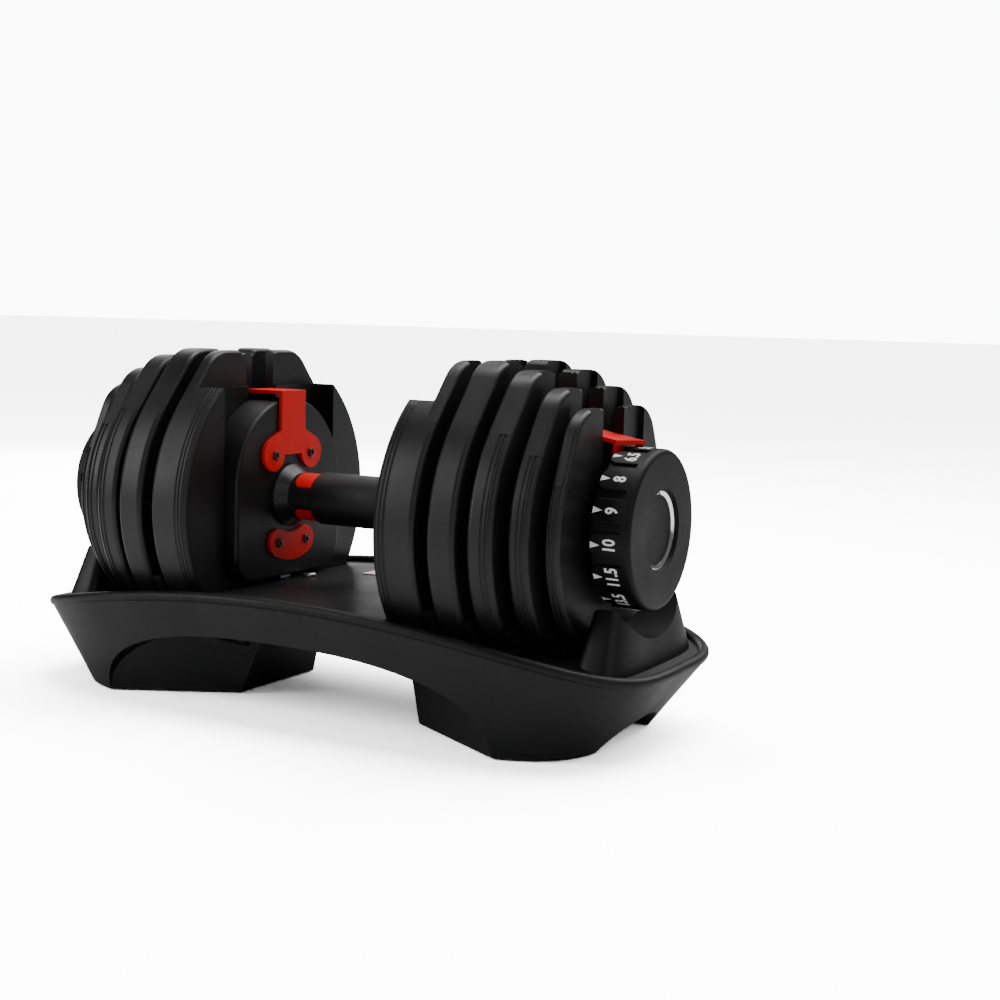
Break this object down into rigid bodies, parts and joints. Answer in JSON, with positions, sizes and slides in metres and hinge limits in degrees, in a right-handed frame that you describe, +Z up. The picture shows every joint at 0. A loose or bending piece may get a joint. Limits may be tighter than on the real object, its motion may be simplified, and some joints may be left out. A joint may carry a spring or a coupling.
{
  "type": "adjustable dumbbell",
  "caption": "Adjustable dumbbell with dial-selected plates on a straight grip, docked in a moulded cradle with an arched skirt and end saddles.",
  "frame": {"origin": "on the ground under the middle of the cradle, centred in plan", "axes": "+X along the handle towards one dial, +Z up, +Y across"},
  "size_m": [0.4327, 0.1908, 0.2161],
  "materials": {
    "plate_coat": "satin black moulded coating over the plate",
    "skirt_plastic": "fine-grain moulded",
    "tray_plastic": "satin moulded",
    "dial_plastic": "satin moulded with white printed numbers",
    "disc_plastic": "glass-filled moulded",
    "cover_plastic": "fine-grain moulded",
    "collar_plastic": "polished moulded",
    "grip_rubber": "matte over-moulded",
    "red_paint": "powder coated sheet",
    "bright_ring": "polished",
    "shaft_steel": "zinc plated",
    "screw_steel": "plated",
    "dark_screw": "black oxide",
    "foot_rubber": "soft",
    "label_vinyl": "blank printed vinyl"
  },
  "bodies": {
    "cradle": {"base_shell": "skirt_plastic", "tray": "tray_plastic", "foot_pads": "foot_rubber", "release_posts": "tray_plastic", "label_plate": "label_vinyl", "deck_screws": "screw_steel", "plate_1_left": "plate_coat", "plate_2_left": "plate_coat", "plate_3_left": "plate_coat", "plate_1_right": "plate_coat", "plate_2_right": "plate_coat", "plate_3_right": "plate_coat"},
    "handle": {"main_shaft": "shaft_steel", "grip_sleeve": "grip_rubber", "cover_screws": "dark_screw", "end_nuts": "shaft_steel", "collar_left": "collar_plastic", "collar_inlays_left": "red_paint", "inner_cover_left": "cover_plastic", "cover_back_left": "cover_plastic", "bridge_left": "red_paint", "lower_retainer_left": "red_paint", "collar_right": "collar_plastic", "collar_inlays_right": "red_paint", "inner_cover_right": "cover_plastic", "cover_back_right": "cover_plastic", "bridge_right": "red_paint", "lower_retainer_right": "red_paint", "lock_spring_left": "shaft_steel", "lock_spring_right": "shaft_steel"},
    "dial_left": {"lock_ring_left": "disc_plastic", "selector_sleeve_left": "disc_plastic", "dial_knob_left": "dial_plastic", "dial_cap_left": "dial_plastic", "dial_ring_left": "bright_ring", "selector_disc_1_left": "disc_plastic", "selector_disc_2_left": "disc_plastic", "selector_disc_3_left": "disc_plastic", "selector_disc_4_left": "disc_plastic", "selector_disc_5_left": "disc_plastic"},
    "lock_left": {"lock_yoke_left": "shaft_steel"},
    "plate_4_left": {"plate_4_left": "plate_coat"},
    "plate_5_left": {"plate_5_left": "plate_coat"},
    "dial_right": {"lock_ring_right": "disc_plastic", "selector_sleeve_right": "disc_plastic", "dial_knob_right": "dial_plastic", "dial_cap_right": "dial_plastic", "dial_ring_right": "bright_ring", "selector_disc_1_right": "disc_plastic", "selector_disc_2_right": "disc_plastic", "selector_disc_3_right": "disc_plastic", "selector_disc_4_right": "disc_plastic", "selector_disc_5_right": "disc_plastic"},
    "lock_right": {"lock_yoke_right": "shaft_steel"},
    "plate_4_right": {"plate_4_right": "plate_coat"},
    "plate_5_right": {"plate_5_right": "plate_coat"}
  },
  "joints": [
    {"name": "handle_lift", "type": "slide", "parent": "cradle", "child": "handle", "axis": [0, 0, 1], "range_m": [0, 0.25]},
    {"name": "dial_left_turn", "type": "hinge", "parent": "handle", "child": "dial_left", "pos_m": [-0.188, 0, 0.124], "axis": [-1, 0, 0], "range_deg": [-264, 72]},
    {"name": "lock_left_drop", "type": "slide", "parent": "handle", "child": "lock_left", "axis": [0, 0, 1], "range_m": [-0.0032, 0], "deforming": ["lock_spring_left"]},
    {"name": "plate_4_left_lift", "type": "slide", "parent": "cradle", "child": "plate_4_left", "axis": [0, 0, 1], "range_m": [0, 0.25]},
    {"name": "plate_5_left_lift", "type": "slide", "parent": "cradle", "child": "plate_5_left", "axis": [0, 0, 1], "range_m": [0, 0.25]},
    {"name": "dial_right_turn", "type": "hinge", "parent": "handle", "child": "dial_right", "pos_m": [0.188, 0, 0.124], "axis": [1, 0, 0], "range_deg": [-264, 72]},
    {"name": "lock_right_drop", "type": "slide", "parent": "handle", "child": "lock_right", "axis": [0, 0, 1], "range_m": [-0.0032, 0], "deforming": ["lock_spring_right"]},
    {"name": "plate_4_right_lift", "type": "slide", "parent": "cradle", "child": "plate_4_right", "axis": [0, 0, 1], "range_m": [0, 0.25]},
    {"name": "plate_5_right_lift", "type": "slide", "parent": "cradle", "child": "plate_5_right", "axis": [0, 0, 1], "range_m": [0, 0.25]}
  ],
  "couplings": [
    {"joint": "lock_left_drop", "follows": "handle_lift", "ratio": -0.0128},
    {"joint": "plate_4_left_lift", "follows": "handle_lift", "ratio": 1},
    {"joint": "plate_5_left_lift", "follows": "handle_lift", "ratio": 1},
    {"joint": "lock_right_drop", "follows": "handle_lift", "ratio": -0.0128},
    {"joint": "plate_4_right_lift", "follows": "handle_lift", "ratio": 1},
    {"joint": "plate_5_right_lift", "follows": "handle_lift", "ratio": 1}
  ]
}
